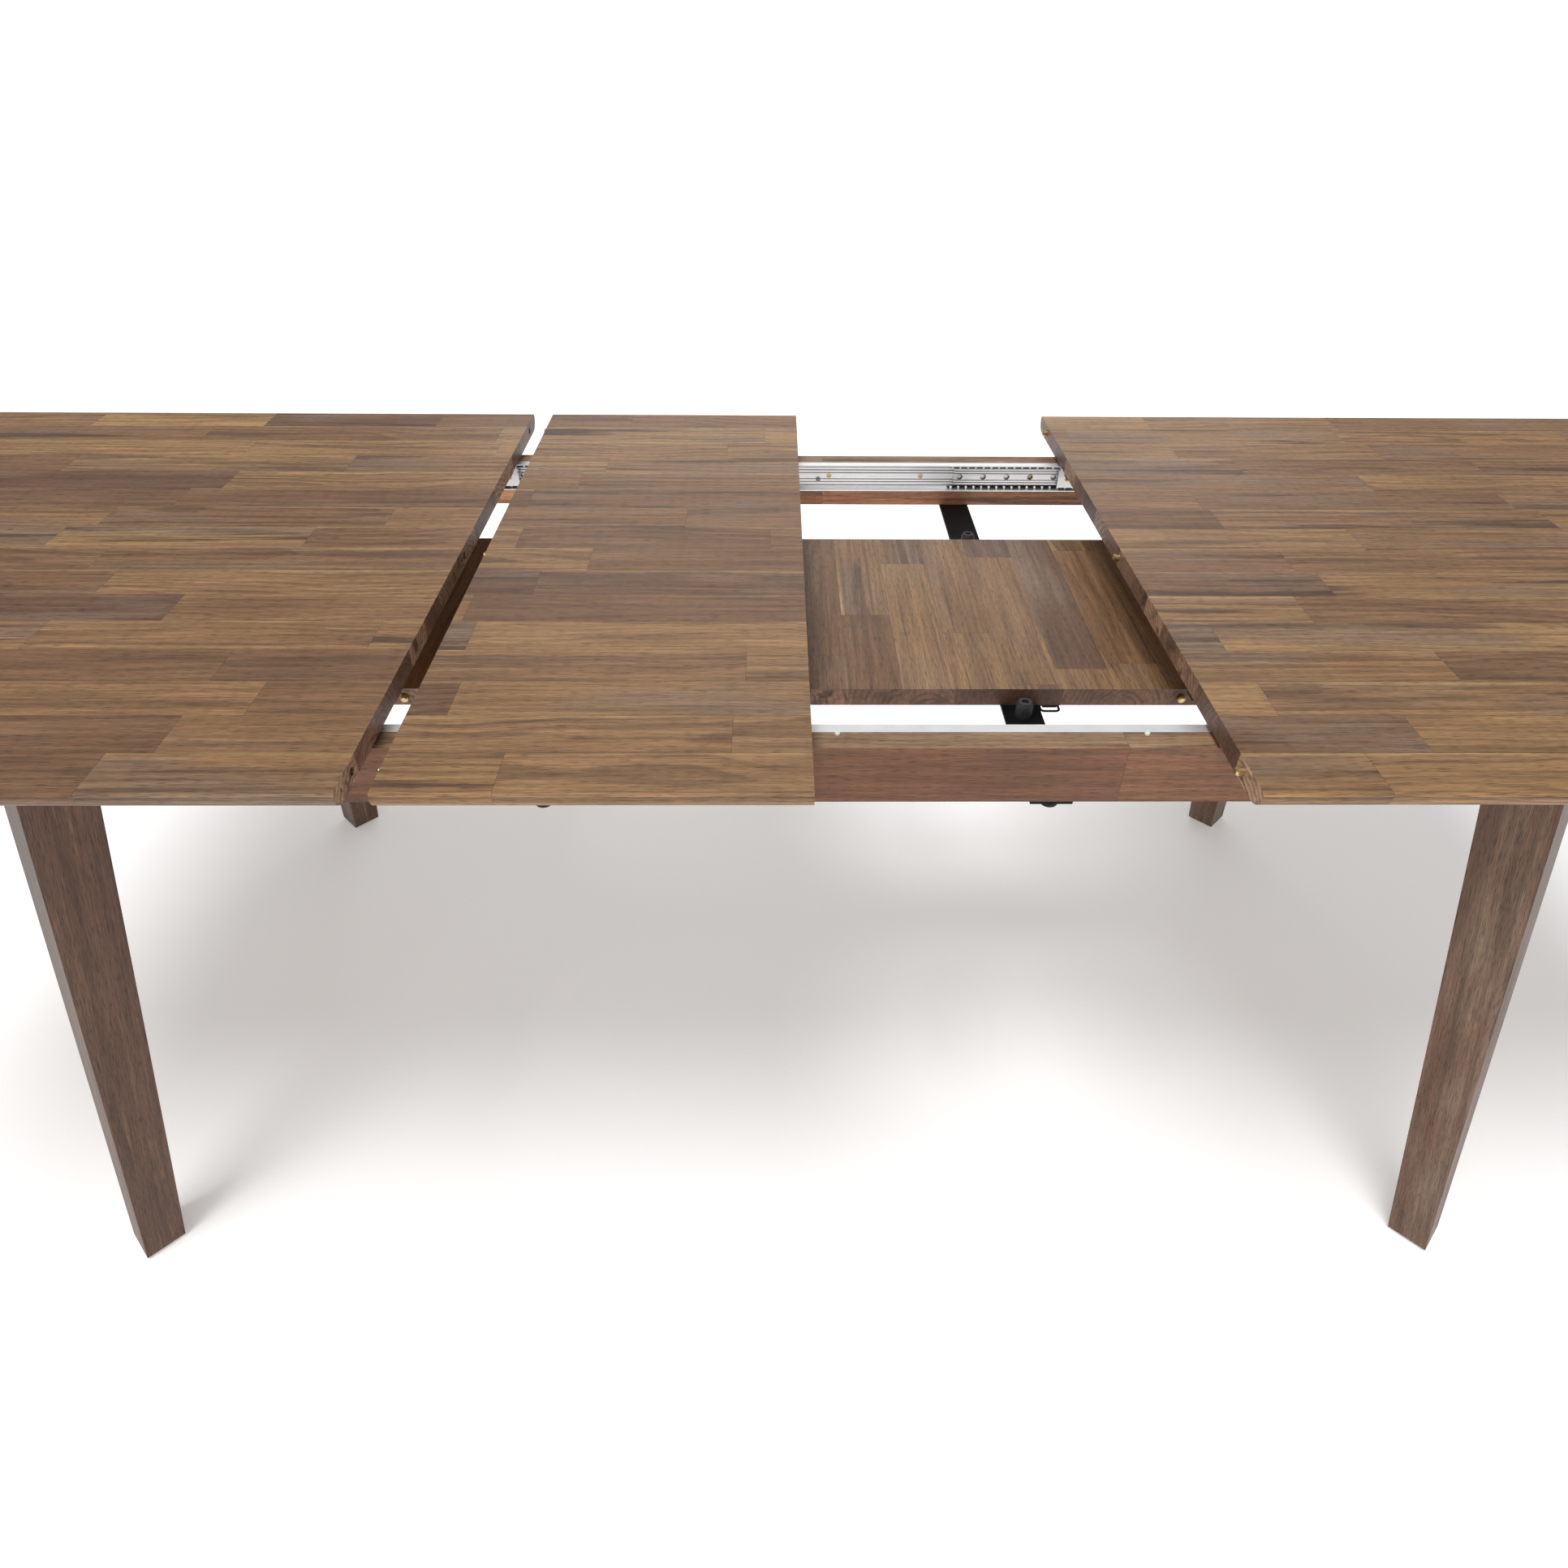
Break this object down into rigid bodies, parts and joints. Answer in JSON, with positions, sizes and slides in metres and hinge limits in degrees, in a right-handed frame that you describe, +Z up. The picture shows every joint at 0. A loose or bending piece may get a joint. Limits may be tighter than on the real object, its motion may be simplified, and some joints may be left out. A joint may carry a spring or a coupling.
{
  "type": "extendable dining table",
  "caption": "Rectangular wooden dining table whose split top runs out on ball slides over a fixed base with splayed legs, with loose leaves to fill the opening.",
  "frame": {"origin": "on the floor, under the middle of the table", "axes": "+X along the table to the half that carries the pins, +Y to the back, +Z up"},
  "size_m": [2.554, 0.9, 0.75],
  "materials": {
    "top_wood": "satin lacquer over edge-glued strips",
    "base_wood": "satin lacquer over edge-glued strips",
    "brass": "turned brass, satin",
    "black_steel": "black powder coat",
    "black_plastic": "matte",
    "white_nylon": "satin",
    "rubber": "matte",
    "slide_metal": "rolled, satin with fine lengthwise lines",
    "ball_steel": "polished",
    "bracket_steel": "zinc plated",
    "zinc_screws": "zinc plated"
  },
  "bodies": {
    "base": {"front_apron": "base_wood", "back_apron": "base_wood", "left_end_rail": "base_wood", "right_end_rail": "base_wood", "leg_front_left": "base_wood", "leg_front_right": "base_wood", "leg_back_left": "base_wood", "leg_back_right": "base_wood", "corner_blocks": "base_wood", "corner_bolts": "zinc_screws", "foot_glides": "black_plastic", "front_slide_channel": "slide_metal", "back_slide_channel": "slide_metal", "channel_screws": "brass", "cage_stops": "zinc_screws", "left_storage_strap": "black_steel", "right_storage_strap": "black_steel", "strap_screws": "black_steel", "leaf_bumpers": "rubber", "bumper_screws": "zinc_screws", "apron_glides": "white_nylon"},
    "left_half": {"left_top": "top_wood", "left_front_runner": "slide_metal", "left_back_runner": "slide_metal", "left_brackets": "bracket_steel", "left_runner_screws": "brass", "left_top_screws": "zinc_screws", "left_keepers": "black_steel"},
    "right_half": {"right_top": "top_wood", "right_front_runner": "slide_metal", "right_back_runner": "slide_metal", "right_brackets": "bracket_steel", "right_runner_screws": "brass", "right_top_screws": "zinc_screws", "right_pins": "brass", "right_lock_bodies": "black_steel"},
    "placed_leaf": {"leaf_one": "top_wood", "leaf_one_pins": "brass", "leaf_one_keepers": "black_steel", "leaf_one_lock_bodies": "black_steel", "leaf_one_screws": "zinc_screws"},
    "stored_leaf": {"leaf_two": "top_wood", "leaf_two_pins": "brass", "leaf_two_keepers": "black_steel", "leaf_two_lock_bodies": "black_steel", "leaf_two_screws": "zinc_screws"},
    "left_front_ball_cage": {"left_front_cage": "slide_metal", "left_front_balls": "ball_steel"},
    "left_back_ball_cage": {"left_back_cage": "slide_metal", "left_back_balls": "ball_steel"},
    "right_front_ball_cage": {"right_front_cage": "slide_metal", "right_front_balls": "ball_steel"},
    "right_back_ball_cage": {"right_back_cage": "slide_metal", "right_back_balls": "ball_steel"},
    "right_front_bail_loop": {"right_front_bail": "black_steel"},
    "right_back_bail_loop": {"right_back_bail": "black_steel"},
    "leaf_one_front_bail_loop": {"leaf_one_front_bail": "black_steel"},
    "leaf_one_back_bail_loop": {"leaf_one_back_bail": "black_steel"},
    "leaf_two_left_bail_loop": {"leaf_two_left_bail": "black_steel"},
    "leaf_two_right_bail_loop": {"leaf_two_right_bail": "black_steel"}
  },
  "joints": [
    {"name": "left_top_slide", "type": "slide", "parent": "base", "child": "left_half", "axis": [1, 0, 0], "range_m": [0, 0.3768]},
    {"name": "right_top_slide", "type": "slide", "parent": "base", "child": "right_half", "axis": [-1, 0, 0], "range_m": [0, 0.3768]},
    {"name": "placed_leaf_lift", "type": "slide", "parent": "base", "child": "placed_leaf", "axis": [0, 0, 1], "range_m": [0, 0.5652]},
    {"name": "stored_leaf_lift", "type": "slide", "parent": "base", "child": "stored_leaf", "axis": [0, 0, 1], "range_m": [0, 0.025]},
    {"name": "left_front_cage_travel", "type": "slide", "parent": "base", "child": "left_front_ball_cage", "axis": [1, 0, 0], "range_m": [0, 0.1884]},
    {"name": "left_back_cage_travel", "type": "slide", "parent": "base", "child": "left_back_ball_cage", "axis": [1, 0, 0], "range_m": [0, 0.1884]},
    {"name": "right_front_cage_travel", "type": "slide", "parent": "base", "child": "right_front_ball_cage", "axis": [-1, 0, 0], "range_m": [0, 0.1884]},
    {"name": "right_back_cage_travel", "type": "slide", "parent": "base", "child": "right_back_ball_cage", "axis": [-1, 0, 0], "range_m": [0, 0.1884]},
    {"name": "right_front_bail_swing", "type": "hinge", "parent": "right_half", "child": "right_front_bail_loop", "pos_m": [0.389, -0.27, 0.726], "axis": [0, 1, 0], "range_deg": [0, 180]},
    {"name": "right_back_bail_swing", "type": "hinge", "parent": "right_half", "child": "right_back_bail_loop", "pos_m": [0.389, 0.27, 0.726], "axis": [0, 1, 0], "range_deg": [0, 180]},
    {"name": "leaf_one_front_bail_swing", "type": "hinge", "parent": "placed_leaf", "child": "leaf_one_front_bail_loop", "pos_m": [-0.3368, -0.27, 0.726], "axis": [0, 1, 0], "range_deg": [0, 180]},
    {"name": "leaf_one_back_bail_swing", "type": "hinge", "parent": "placed_leaf", "child": "leaf_one_back_bail_loop", "pos_m": [-0.3368, 0.27, 0.726], "axis": [0, 1, 0], "range_deg": [0, 180]},
    {"name": "leaf_two_left_bail_swing", "type": "hinge", "parent": "stored_leaf", "child": "leaf_two_left_bail_loop", "pos_m": [-0.27, -0.179, 0.659], "axis": [1, 0, 0], "range_deg": [0, 90]},
    {"name": "leaf_two_right_bail_swing", "type": "hinge", "parent": "stored_leaf", "child": "leaf_two_right_bail_loop", "pos_m": [0.27, -0.179, 0.659], "axis": [1, 0, 0], "range_deg": [0, 90]}
  ],
  "couplings": [
    {"joint": "right_top_slide", "follows": "left_top_slide", "ratio": 1},
    {"joint": "placed_leaf_lift", "follows": "left_top_slide", "ratio": 1.5},
    {"joint": "left_front_cage_travel", "follows": "left_top_slide", "ratio": 0.5},
    {"joint": "left_back_cage_travel", "follows": "left_top_slide", "ratio": 0.5},
    {"joint": "right_front_cage_travel", "follows": "left_top_slide", "ratio": 0.5},
    {"joint": "right_back_cage_travel", "follows": "left_top_slide", "ratio": 0.5}
  ]
}
